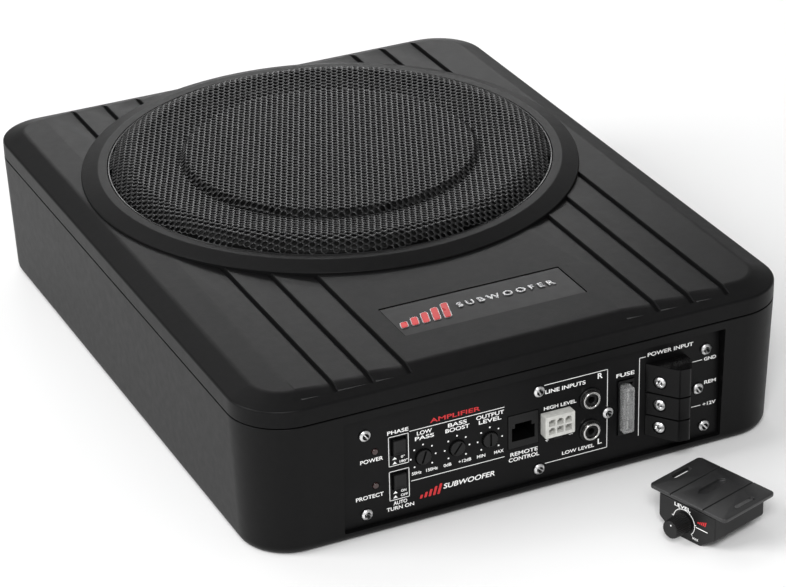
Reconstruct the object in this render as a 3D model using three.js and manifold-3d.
// Powered under-seat car subwoofer with its wired level remote.
// Millimetres, +Z up. The origin is the centre of the flat base; the control panel faces -Y.
import * as THREE from "three";
import { mergeVertices } from "three/addons/utils/BufferGeometryUtils.js";
import Module from "manifold-3d";

const wasm = await Module();
wasm.setup();

// ---------------------------------------------------------------- driving dimensions
const GAP = 0.3;
const WALL = 3;

const WIDTH = 274;
const LENGTH = 350;
const CORNER_RADIUS = 26;
const SEAM_Z = 66.4;
const LIP_Z = 75.2;
const TOP_Z = 78.9;
const CHAMFER_INSET = 11.3;
const DRAFT_INSET = 2.6;
const FOOT_RADIUS = 5;

const WOOFER_Y = 44.4;
const RING_OUTER_R = 125.2;
const RING_FLAT_R = 116.7;
const RING_INNER_R = 112.2;
const RING_TOP_Z = 82.7;
const RING_EDGE_Z = TOP_Z + 1;
const WELL_FLOOR_Z = 69.5;
const WELL_SEAT_Z = 72;
const WELL_HOLE_R = 101;
const WELL_WALL_R = RING_INNER_R + WALL;
const ROUND_SIDES = 48;

const RIB_DEPTH = 1.4;
const RIB_PITCH = 17.6;
const RIB_RUN = 6.4;
const RIB_ENDS = [-92.7, -75.5, -57, 68.5, 86.2, 104.7];

const BADGE = { halfWidth: 46.5, front: -140.8, back: -111.8, recess: 1.5 };

const PANEL = { left: -93, right: 100.1, bottom: 5, top: 62.3, face: -170.2, thickness: 1.6 };
const PANEL_BACK = PANEL.face + PANEL.thickness;
const SCREW_COLUMNS = [-81.1, 5.6, 92.4];
const SCREW_ROWS = [51.7, 11.1];
const MIDDLE_SCREWS = [[41.1, 31.4], [88.7, 31.8]];
const TRIM_KNOBS = [["low_pass", -52.6], ["bass_boost", -35.7], ["output_level", -19.2]];
const TRIM_KNOB_Z = 33.3;
const TRIM_KNOB_R = 3.8;
const SWITCHES = [["phase", 42], ["auto_turn_on", 24.4]];
const SWITCH_X = -64.7;
const SWITCH_HOLE = [7.6, 8.8];
const LEDS = [["power_led", 42.1], ["protect_led", 24.6]];
const LED_X = -76.2;
const REMOTE_SOCKET = { x: -2.3, width: 15.2, bottom: 25.3, top: 42.3 };
const HIGH_LEVEL = { x: 14.5, z: 33.9, width: 15.2, height: 11.1, pitch: 4.2 };
const RCA_X = 31.9;
const RCA_JACKS = [["right", 41.1], ["left", 24.6]];
const FUSE = { x: 50.5, z: 31.5, width: 5.8, height: 23.6, front: -174.2 };
const TERMINAL_CELLS = [43.4, 31.6, 19.8];
const TERMINAL_GROOVES = [37.2, 25.4];
const TERMINAL = { left: 60.8, noseX: 71.3, noseY: -183.5, right: 81.4, bottom: 14.4, top: 51.8 };
const BOARD_BACK = -150.8;
const BOARD_FRONT = -152.3;

const REMOTE = { x: 59.4, y: -233.5, turn: 18, length: 33, halfWidth: 16.6, height: 17.6 };

// ---------------------------------------------------------------- materials
const material = (color, roughness, metalness = 0) =>
  new THREE.MeshStandardMaterial({ color, roughness, metalness });
const blackPlastic = material(0x262626, 0.62);
const panelBlack = material(0x191919, 0.5);
const grilleBlack = material(0x202020, 0.4, 0.6);
const rubberBlack = material(0x161616, 0.8);
const paperBlack = material(0x1c1c1c, 0.85);
const plainSteel = material(0xb9bcc0, 0.3, 1);
const darkSteel = material(0x3a3a3c, 0.5, 0.8);
const ferrite = material(0x2c2c2e, 0.75);
const boardGreen = material(0x1f5a34, 0.55);
const copperWinding = material(0xa8622c, 0.4, 0.9);
const aluminium = material(0xa9acb0, 0.4, 0.9);
const capacitorSleeve = material(0x1d2c5a, 0.4);
const nylonWhite = material(0xcfcfcb, 0.5);
const clearFuse = material(0x9ea2a4, 0.15);
const ledRed = material(0x5a1512, 0.2);

// ---------------------------------------------------------------- solids
// Turns a closed geometry into a solid that can be joined and cut.
function solid(geometry) {
  const bare = geometry.index ? geometry.clone() : geometry;
  bare.deleteAttribute("normal");
  bare.deleteAttribute("uv");
  const merged = mergeVertices(bare, 1e-4);
  return new wasm.Manifold(new wasm.Mesh({
    numProp: 3,
    vertProperties: new Float32Array(merged.attributes.position.array),
    triVerts: new Uint32Array(merged.index.array),
  }));
}

function geometryOf(body) {
  const made = body.getMesh();
  const geometry = new THREE.BufferGeometry();
  geometry.setAttribute("position", new THREE.BufferAttribute(made.vertProperties, 3));
  geometry.setIndex(new THREE.BufferAttribute(made.triVerts, 1));
  geometry.computeVertexNormals();
  return geometry;
}

const join = (...parts) => parts.reduce((sum, part) => sum.add(part));
const cut = (body, ...tools) => tools.reduce((left, tool) => left.subtract(tool), body);

function box(x0, x1, y0, y1, z0, z1) {
  const geometry = new THREE.BoxGeometry(x1 - x0, y1 - y0, z1 - z0);
  geometry.translate((x0 + x1) / 2, (y0 + y1) / 2, (z0 + z1) / 2);
  return solid(geometry);
}

// A rod along Y, from y0 to y1, as screws, knobs and jacks on the panel are.
function rodY(x, z, radius, y0, y1, sides = 16) {
  const geometry = new THREE.CylinderGeometry(radius, radius, y1 - y0, sides);
  geometry.translate(x, (y0 + y1) / 2, z);
  return solid(geometry);
}

function rodZ(x, y, radius, z0, z1, sides = 24) {
  const geometry = new THREE.CylinderGeometry(radius, radius, z1 - z0, sides);
  geometry.rotateX(Math.PI / 2);
  geometry.translate(x, y, (z0 + z1) / 2);
  return solid(geometry);
}

// A turned piece: profile points are [radius, height] and run counter-clockwise, bottom first.
function turned(profile, segments = 36) {
  const points = profile.map(([r, h]) => new THREE.Vector2(r, h));
  if (profile[0][0] > 0) {
    points.push(points[0].clone());
  }
  const geometry = new THREE.LatheGeometry(points, segments);
  geometry.rotateX(Math.PI / 2);
  return solid(geometry);
}

// An upright prism of a plan outline.
function prism(points, z0, z1) {
  const shape = new THREE.Shape(points.map(([x, y]) => new THREE.Vector2(x, y)));
  const geometry = new THREE.ExtrudeGeometry(shape, { depth: z1 - z0, bevelEnabled: false });
  geometry.translate(0, 0, z0);
  return solid(geometry);
}

// A prism along Y of an outline given in X and Z.
function prismY(points, y0, y1) {
  const shape = new THREE.Shape(points.map(([x, z]) => new THREE.Vector2(x, z)));
  const geometry = new THREE.ExtrudeGeometry(shape, { depth: y1 - y0, bevelEnabled: false });
  geometry.rotateX(Math.PI / 2);
  geometry.translate(0, y1, 0);
  return solid(geometry);
}

function roundedOutline(halfX, halfY, radius, steps = 6) {
  const corners = [[1, 1], [-1, 1], [-1, -1], [1, -1]];
  const points = [];
  corners.forEach(([sx, sy], corner) => {
    for (let i = 0; i <= steps; i += 1) {
      const angle = ((corner + i / steps) * Math.PI) / 2;
      points.push([
        sx * (halfX - radius) + radius * Math.cos(angle),
        sy * (halfY - radius) + radius * Math.sin(angle),
      ]);
    }
  });
  return points;
}

// A solid whose rounded outline shrinks by an inset at each level: [height, inset].
function tapered(levels) {
  const rings = levels.map(([z, inset]) =>
    roundedOutline(WIDTH / 2 - inset, LENGTH / 2 - inset, Math.max(CORNER_RADIUS - inset, 3))
      .map(([x, y]) => [x, y, z]));
  const count = rings[0].length;
  const vertices = rings.flat();
  const faces = [];
  for (let level = 0; level + 1 < rings.length; level += 1) {
    for (let i = 0; i < count; i += 1) {
      const a = level * count + i;
      const b = level * count + ((i + 1) % count);
      faces.push(a, b, b + count, a, b + count, a + count);
    }
  }
  const top = (rings.length - 1) * count;
  const middle = vertices.length;
  vertices.push([0, 0, levels[0][0]], [0, 0, levels.at(-1)[0]]);
  for (let i = 0; i < count; i += 1) {
    const next = (i + 1) % count;
    faces.push(middle, next, i);
    faces.push(middle + 1, top + i, top + next);
  }
  const geometry = new THREE.BufferGeometry();
  geometry.setAttribute("position", new THREE.Float32BufferAttribute(vertices.flat(), 3));
  geometry.setIndex(faces);
  return solid(geometry);
}

const group = new THREE.Group();
const woofer = new THREE.Group();
woofer.position.y = WOOFER_Y;
const remote = new THREE.Group();
remote.position.set(REMOTE.x, REMOTE.y, 0);
remote.rotation.z = THREE.MathUtils.degToRad(REMOTE.turn);
group.add(woofer, remote);

function place(name, body, finish, parent = group) {
  const mesh = new THREE.Mesh(geometryOf(body), finish);
  mesh.name = name;
  parent.add(mesh);
  return mesh;
}

// ---------------------------------------------------------------- enclosure
const COVER_POSTS = [[-112, -150], [112, -150], [-112, 150], [112, 150]];

// Outer levels of the lower housing: a rounded foot, then a slight draft up to the seam.
function housingLevels(inset) {
  const levels = [];
  for (let i = 0; i <= 3; i += 1) {
    const angle = (i * Math.PI) / 6;
    levels.push([
      FOOT_RADIUS * (1 - Math.cos(angle)),
      DRAFT_INSET + FOOT_RADIUS * (1 - Math.sin(angle)) + inset,
    ]);
  }
  levels.push([SEAM_Z, inset]);
  return levels;
}

function bottomHousing() {
  const outer = tapered(housingLevels(0));
  const cavity = tapered([[WALL, 7.4 + WALL / 2], [8, DRAFT_INSET + WALL], [SEAM_Z + 5, WALL]]);
  const tongue = cut(
    tapered([[SEAM_Z - 4, WALL + GAP], [SEAM_Z + 2.4, WALL + GAP]]),
    tapered([[SEAM_Z - 6, WALL + 2.3], [SEAM_Z + 5, WALL + 2.3]]),
  );
  const tongueGap = box(PANEL.left, PANEL.right, -175, -160, SEAM_Z + 0.01, SEAM_Z + 5);
  const frame = box(PANEL.left - 3, PANEL.right + 3, -172, -165.3, 2, PANEL.top + 3).intersect(outer);
  let body = cut(outer, cavity);
  body = join(body, cut(tongue, tongueGap), frame);
  body = cut(
    body,
    box(PANEL.left, PANEL.right, -180, PANEL_BACK + GAP, PANEL.bottom, PANEL.top),
    box(PANEL.left + 6.5, PANEL.right - 4, -175, -160, PANEL.bottom + 4, PANEL.top - 7),
  );
  for (const x of SCREW_COLUMNS) {
    for (const z of SCREW_ROWS) {
      body = body.add(rodY(x, z, 4.8, PANEL_BACK + GAP, -158, 12));
      body = body.subtract(rodY(x, z, 1.7, -175, -159.5, 10));
    }
  }
  for (const [x, y] of COVER_POSTS) {
    body = body.add(rodZ(x, y, 5, 1.5, SEAM_Z - 3, 12));
    body = body.subtract(rodZ(x, y, 2.3, -1, SEAM_Z, 10));
    body = body.subtract(rodZ(x, y, 4.3, -1, 3.4, 12));
  }
  for (const x of [-78, 88]) {
    for (const y of [-146, -90]) {
      body = body.add(rodZ(x, y, 3.5, 1.5, 6.7, 10));
    }
  }
  return body;
}

function ringFlange() {
  return turned([
    [0, 76.2], [RING_OUTER_R, 76.2], [RING_OUTER_R, RING_EDGE_Z],
    [RING_FLAT_R, RING_TOP_Z], [0, RING_TOP_Z],
  ], ROUND_SIDES).translate([0, WOOFER_Y, 0]);
}

// A rib dips to an upright step. It follows the front chamfer and runs out through the back one.
function ribGroove(end) {
  const section = [[end - RIB_PITCH, 0.01], [end, -RIB_DEPTH], [end, 2], [end - RIB_PITCH, 2]];
  const slope = THREE.MathUtils.radToDeg(Math.atan2(TOP_Z - LIP_Z, CHAMFER_INSET));
  const onTop = prismY(section, 0, LENGTH - 2 * CHAMFER_INSET + 6);
  const onChamfer = prismY(section, -RIB_RUN, 0.4).rotate([slope, 0, 0]);
  return join(onTop, onChamfer).translate([0, CHAMFER_INSET - LENGTH / 2, TOP_Z]);
}

function topCover() {
  const bottom = SEAM_Z + 0.4;
  let body = tapered([[bottom, 0], [LIP_Z, 0], [TOP_Z, CHAMFER_INSET]]);
  body = cut(body, ...RIB_ENDS.map(ribGroove));
  body = cut(body, box(
    -BADGE.halfWidth, BADGE.halfWidth, BADGE.front, BADGE.back, TOP_Z - BADGE.recess, TOP_Z + 5));
  body = body.add(ringFlange());
  body = body.subtract(tapered([
    [bottom - 1, WALL], [LIP_Z - 2, WALL], [TOP_Z - WALL - 0.7, CHAMFER_INSET + 1],
  ]));
  body = body.add(rodZ(0, WOOFER_Y, WELL_WALL_R, WELL_FLOOR_Z, 77, ROUND_SIDES));
  for (const [x, y] of COVER_POSTS) {
    body = body.add(rodZ(x, y, 5, SEAM_Z - 2.6, 76, 12));
    body = body.subtract(rodZ(x, y, 1.9, SEAM_Z - 4, 73.5, 10));
  }
  return cut(
    body,
    rodZ(0, WOOFER_Y, RING_INNER_R, WELL_SEAT_Z, 90, ROUND_SIDES),
    rodZ(0, WOOFER_Y, WELL_HOLE_R, 60, 80, ROUND_SIDES),
  );
}

// The grille: a steep rim, a rounded crest, a shallow dish and a raised middle.
function grille() {
  const skin = [
    [111.8, 82.4], [107.5, 85], [103, 86.8], [99, 87.5], [90, 87.1], [77.5, 86.1], [73.5, 87.3],
  ];
  const under = skin.slice().reverse().map(([r, z]) => [r - 0.6, z - 1]);
  return turned([[0, 86.7], ...under, [110.9, 80.6], [111.8, 80.6], ...skin, [0, 87.7]], ROUND_SIDES);
}

place("bottom_housing", bottomHousing(), blackPlastic);
place("top_cover", topCover(), blackPlastic);
place("grille", grille(), grilleBlack, woofer);
place("badge_plate", box(
  -BADGE.halfWidth + GAP, BADGE.halfWidth - GAP, BADGE.front + GAP, BADGE.back - GAP,
  TOP_Z - BADGE.recess + GAP, TOP_Z - 0.3), panelBlack);
COVER_POSTS.forEach(([x, y], i) => {
  const screw = join(rodZ(x, y, 3.8, 1.2, 3.1, 12), rodZ(x, y, 1.6, 3, 72, 8));
  place(`cover_screw_${i + 1}`, screw, plainSteel);
});

// ---------------------------------------------------------------- woofer
place("basket", turned([
  [19.5, 29.3], [59.8, 29.3], [62.8, 38.5], [100.3, 72.3], [110.5, 72.3], [110.5, 74.3],
  [98, 74.3], [60.5, 39.7], [57.5, 31.3], [19.5, 31.3],
]), darkSteel, woofer);
place("magnet", turned([[22, 10.3], [50, 10.3], [50, 24], [22, 24]], 40), ferrite, woofer);
place("top_plate", turned([[18.3, 24.3], [45, 24.3], [45, 29], [18.3, 29]], 40), plainSteel, woofer);
place("yoke", turned([
  [0, 5], [45, 5], [45, 10], [15.5, 10], [15.5, 29], [0, 29],
], 40), plainSteel, woofer);
place("surround", turned([
  [84.5, 74.5], [88.5, 74.5], [90.2, 77.8], [94, 79.8], [97.8, 77.8], [99.4, 74.6], [109, 74.6],
  [109, 75.6], [100.2, 75.6], [98.5, 78.6], [94, 81], [89.5, 78.6], [87.8, 75.5], [84.5, 75.5],
]), rubberBlack, woofer);
place("cone", turned([[17.7, 43], [18.7, 43], [88.5, 73.2], [88.5, 74.2], [86.6, 74.2], [17.7, 44.6]]),
  paperBlack, woofer);
place("dust_cap", turned([
  [0, 58.8], [12, 58], [22, 55], [29.3, 50.3], [30.5, 50.3], [22.8, 55.9], [12.3, 59.1], [0, 60],
], 36), rubberBlack, woofer);
place("voice_coil", turned([[16.4, 16], [17.4, 16], [17.4, 46], [16.4, 46]], 32), copperWinding, woofer);
place("spider", turned([[18, 40.2], [60.2, 40.2], [60.2, 41.2], [18, 41.2]], 40), copperWinding, woofer);

// ---------------------------------------------------------------- control panel
const panelScrews = [
  ...SCREW_COLUMNS.flatMap((x) => SCREW_ROWS.map((z) => [x, z])), ...MIDDLE_SCREWS,
];

function controlPanel() {
  const body = box(
    PANEL.left + GAP, PANEL.right - GAP, PANEL.face, PANEL_BACK, PANEL.bottom + GAP, PANEL.top - GAP);
  const holes = [
    ...panelScrews.map(([x, z]) => rodY(x, z, 1.8, -175, -165, 10)),
    ...TRIM_KNOBS.map(([, x]) => rodY(x, TRIM_KNOB_Z, TRIM_KNOB_R + 0.4, -175, -165, 20)),
    ...LEDS.map(([, z]) => rodY(LED_X, z, 1.8, -175, -165, 12)),
    ...RCA_JACKS.map(([, z]) => rodY(RCA_X, z, 5.6, -175, -165, 24)),
    ...SWITCHES.map(([, z]) => box(
      SWITCH_X - SWITCH_HOLE[0] / 2, SWITCH_X + SWITCH_HOLE[0] / 2, -175, -165,
      z - SWITCH_HOLE[1] / 2, z + SWITCH_HOLE[1] / 2)),
    box(REMOTE_SOCKET.x - REMOTE_SOCKET.width / 2 - GAP, REMOTE_SOCKET.x + REMOTE_SOCKET.width / 2 + GAP,
      -175, -165, REMOTE_SOCKET.bottom - GAP, REMOTE_SOCKET.top + GAP),
    box(HIGH_LEVEL.x - HIGH_LEVEL.width / 2 - GAP, HIGH_LEVEL.x + HIGH_LEVEL.width / 2 + GAP,
      -175, -165,
      HIGH_LEVEL.z - HIGH_LEVEL.height / 2 - GAP, HIGH_LEVEL.z + HIGH_LEVEL.height / 2 + GAP),
    box(FUSE.x - 4.3, FUSE.x + 4.3, -175, -165, FUSE.z - 14, FUSE.z + 15),
  ];
  return cut(body, ...holes);
}

function panelScrew(x, z) {
  const tip = MIDDLE_SCREWS.some(([mx]) => mx === x) ? -163 : -160;
  const head = join(rodY(x, z, 2.75, -171.9, -170.5, 16), rodY(x, z, 1.4, -170.6, tip, 10));
  const slots = [
    box(x - 1.5, x + 1.5, -172.5, -171.1, z - 0.35, z + 0.35),
    box(x - 0.35, x + 0.35, -172.5, -171.1, z - 1.5, z + 1.5),
  ];
  return cut(head, ...slots);
}

place("control_panel", controlPanel(), panelBlack);
panelScrews.forEach(([x, z], i) => place(`panel_screw_${i + 1}`, panelScrew(x, z), plainSteel));
LEDS.forEach(([name, z]) => place(name, rodY(LED_X, z, 1.5, -170.7, -165), ledRed));

TRIM_KNOBS.forEach(([name, x]) => {
  const knob = join(
    rodY(x, TRIM_KNOB_Z, TRIM_KNOB_R, -171.4, -166.6, 24), rodY(x, TRIM_KNOB_Z, 1.5, -167, -159.5, 10));
  const slot = box(x - 0.5, x + 0.5, -172, -170.4, TRIM_KNOB_Z - 3, TRIM_KNOB_Z + 3);
  place(`${name}_knob`, cut(knob, slot), blackPlastic);
  const pot = box(x - 5, x + 5, -165.5, BOARD_FRONT - GAP, TRIM_KNOB_Z - 5, TRIM_KNOB_Z + 5);
  place(`${name}_pot`, cut(pot, rodY(x, TRIM_KNOB_Z, 1.9, -167, -158.5, 12)), panelBlack);
});

SWITCHES.forEach(([name, z]) => {
  const button = join(
    box(SWITCH_X - 3.1, SWITCH_X + 3.1, -171.8, -166.8, z - 3.7, z + 3.7),
    box(SWITCH_X - 1.5, SWITCH_X + 1.5, -167, -160, z - 1.5, z + 1.5),
  );
  place(`${name}_button`, button, blackPlastic);
  const body = box(SWITCH_X - 4.2, SWITCH_X + 4.2, -164, BOARD_FRONT - GAP, z - 4.2, z + 4.2);
  place(`${name}_switch`, cut(body, box(
    SWITCH_X - 1.9, SWITCH_X + 1.9, -166, -156.5, z - 1.9, z + 1.9)), panelBlack);
});

// A modular socket with its mouth towards -Y: a plug bay above a sill, and a slot for the latch.
function modularSocket(width, bottom, top, sill, front, back) {
  const half = width / 2;
  const bay = bottom + sill;
  return cut(
    box(-half, half, front, back, bottom, top),
    box(-half + 1.8, half - 1.8, front - 1, back - 3, bay, bay + 6.8),
    box(-half + 3.4, half - 3.4, front - 1, back - 3, bay + 6, Math.min(bay + 9, top - 0.8)),
  );
}

place("remote_socket", modularSocket(
  REMOTE_SOCKET.width, REMOTE_SOCKET.bottom, REMOTE_SOCKET.top, 3.5, -170.4, BOARD_FRONT - GAP,
).translate([REMOTE_SOCKET.x, 0, 0]), panelBlack);

function highLevelConnector() {
  const { x, z, width, height, pitch } = HIGH_LEVEL;
  const body = box(
    x - width / 2, x + width / 2, -174.7, BOARD_FRONT - GAP, z - height / 2, z + height / 2);
  const cavities = [-1, 0, 1].flatMap((column) => [-0.5, 0.5].map((row) => box(
    x + column * pitch - 1.65, x + column * pitch + 1.65, -176, -164,
    z + row * pitch - 1.65, z + row * pitch + 1.65)));
  return cut(body, ...cavities);
}

place("high_level_connector", highLevelConnector(), nylonWhite);


// Turns a phono jack part to face -Y: its height 0 is the front of the panel.
function facingOut(body, z) {
  return body.rotate([90, 0, 0]).translate([RCA_X, PANEL.face, z]);
}

RCA_JACKS.forEach(([side, z]) => {
  const insulator = turned([
    [0, -12], [5.3, -12], [5.3, 0.8], [4.5, 0.8], [4.5, -9],
    [3.15, -9], [3.15, 1.8], [1.7, 1.8], [1.7, -7], [0, -7],
  ], 24);
  place(`rca_${side}_insulator`, facingOut(insulator, z), blackPlastic);
  const shell = turned([[3.45, -8.7], [4.2, -8.7], [4.2, 2.6], [3.45, 2.6]], 24);
  place(`rca_${side}_shell`, facingOut(shell, z), plainSteel);
});

function fuseHolder() {
  const { x, z } = FUSE;
  return cut(
    box(x - 4, x + 4, -171, BOARD_FRONT - GAP, z - 13.7, z + 14.7),
    box(x - 3.3, x + 3.3, -173, -155, z - 12.3, z + 13.3),
  );
}

function fuse() {
  const { x, z, width, height, front } = FUSE;
  return join(
    box(x - width / 2, x + width / 2, front, -164, z - height / 2, z + height / 2),
    box(x - 0.5, x + 0.5, -164.5, -156, z - height / 2 + 1, z - height / 2 + 7),
    box(x - 0.5, x + 0.5, -164.5, -156, z + height / 2 - 7, z + height / 2 - 1),
  );
}

place("fuse_holder", fuseHolder(), panelBlack);
place("fuse", fuse(), clearFuse);

// The three-way power terminal: its screw face is turned to the left, its wire ways open to the
// right.
const screwFaceTurn = Math.atan2(TERMINAL.noseY - (PANEL.face - GAP), TERMINAL.noseX - TERMINAL.left);
const screwSpot = [
  TERMINAL.left + 0.42 * (TERMINAL.noseX - TERMINAL.left),
  PANEL.face - GAP + 0.42 * (TERMINAL.noseY - PANEL.face + GAP),
];

// Sets a body that is built round the origin, facing -Y, on the slanted screw face at a height.
function onScrewFace(body, z) {
  return body.rotate([0, 0, THREE.MathUtils.radToDeg(screwFaceTurn)]).translate([...screwSpot, z]);
}

function terminalBlock() {
  const { left, noseX, noseY, right, bottom, top } = TERMINAL;
  const back = PANEL.face - GAP;
  const outline = (inset) => [
    [left + inset, back], [noseX + inset, noseY + inset], [noseX + 2.5, noseY - 0.7 + inset],
    [noseX + 4.6, noseY - 0.3 + inset], [right - 3.9 - inset, noseY + 1.7 + inset],
    [right - inset, noseY + 7.2], [right - inset, back],
  ];
  let body = prism(outline(0), bottom, top);
  for (const z of TERMINAL_GROOVES) {
    const groove = cut(
      box(left - 1, right + 1, noseY - 2, back - 1, z - 0.4, z + 0.4), prism(outline(0.9), bottom, top));
    body = body.subtract(groove);
  }
  for (const z of TERMINAL_CELLS) {
    body = body.subtract(onScrewFace(rodY(0, 0, 3.4, -3, 1.2, 20), z));
    body = body.subtract(onScrewFace(rodY(0, 0, 1.9, -2, 5.8, 12), z));
    body = body.subtract(box(right - 9.4, right + 3, back - 8.5, back - 3.3, z - 2.6, z + 2.6));
  }
  return body;
}

place("terminal_block", terminalBlock(), panelBlack);
TERMINAL_CELLS.forEach((z, i) => {
  const head = join(rodY(0, 0, 2.8, -1.2, 0.9, 16), rodY(0, 0, 1.5, 0.8, 5.3, 10));
  const slots = [box(-1.7, 1.7, -2, -0.4, -0.4, 0.4), box(-0.4, 0.4, -2, -0.4, -1.7, 1.7)];
  place(`terminal_screw_${i + 1}`, onScrewFace(cut(head, ...slots), z), plainSteel);
});

// ---------------------------------------------------------------- amplifier behind the panel
function frontBoard() {
  const board = box(-80, 56, BOARD_FRONT, BOARD_BACK, 9.6, 56);
  return cut(board, ...SCREW_COLUMNS.slice(0, 2).map((x) => rodY(x, SCREW_ROWS[0], 5.4, -160, -145, 12)));
}

function heatSink() {
  let body = box(62, 92, -146, -88, 9, 46);
  for (let fin = 0; fin < 6; fin += 1) {
    body = body.subtract(box(60, 84, -143 + fin * 9.4, -138 + fin * 9.4, 8, 50));
  }
  return body;
}

place("front_board", frontBoard(), boardGreen);
place("main_board", box(-84, 94, -149.5, -84, 7, 8.6), boardGreen);
place("heat_sink", heatSink(), aluminium);
place("power_toroid", turned([
  [7, 9.5], [21, 9.5], [22, 12], [22, 24], [20, 26.5], [8, 26.5], [6, 24], [6, 12],
], 24).translate([-52, -115, 0]), copperWinding);
place("reservoir_capacitor", rodZ(5, -118, 11, 9, 46), capacitorSleeve);

// ---------------------------------------------------------------- wired level remote
function remoteCase() {
  const { length, halfWidth, height } = REMOTE;
  const outline = [
    [-halfWidth, height], [-halfWidth, 6], [-8, 0], [8, 0], [halfWidth, 6], [halfWidth, height],
  ];
  const inside = [
    [-14.8, height + 1], [-14.8, 6.8], [-7.4, 1.6], [7.4, 1.6], [14.8, 6.8], [14.8, height + 1],
  ];
  const half = length / 2;
  const shell = cut(prismY(outline, -half, half), prismY(inside, -half + 1.8, half - 1.8));
  return cut(
    shell.rotate([0, 0, 90]),
    alongX(1.9, -half - 1, -half + 3),
    box(half - 3, half + 1, -6.6, 6.6, 3.4, 14),
  );
}

// A rod along X on the remote knob's axis.
function alongX(radius, x0, x1, sides = 20) {
  return rodY(0, 8.6, radius, -x1, -x0, sides).rotate([0, 0, 90]).translate([0, 1.5, 0]);
}

// The knob's grip narrows towards its free end, which faces -X.
function remoteKnobGrip() {
  return turned([[0, 16.9], [5, 16.9], [4.4, 26], [0, 26]], 28)
    .rotate([0, -90, 0]).translate([0, 1.5, 8.6]);
}

function remotePlate() {
  const bottom = REMOTE.height + GAP;
  const rounded = roundedOutline(17, 22.4, 2.2, 4);
  const slots = [-1, 1].map((end) => prism(
    roundedOutline(6, 1.4, 1.35, 3).map(([x, y]) => [x + 0.5, y + end * 18.6]), 10, 30));
  const grooves = [-1, 1].map((end) => box(-18, 18, end * 9.6 - 0.5, end * 9.6 + 0.5, bottom + 1.5, 30));
  return cut(prism(rounded, bottom, bottom + 2), ...slots, ...grooves);
}

place("remote_case", remoteCase(), blackPlastic, remote);
place("remote_plate", remotePlate(), blackPlastic, remote);
place("remote_knob", join(remoteKnobGrip(), alongX(1.5, -17, -9)), blackPlastic, remote);
place("remote_pot", cut(box(-14.4, -6, -3, 6, 4.1, 13.1), alongX(1.9, -15, -8, 16)), panelBlack, remote);
place("remote_jack", modularSocket(12.6, 3.7, 13.7, 1.3, -16.4, -5).rotate([0, 0, 90]), panelBlack, remote);

export default group;
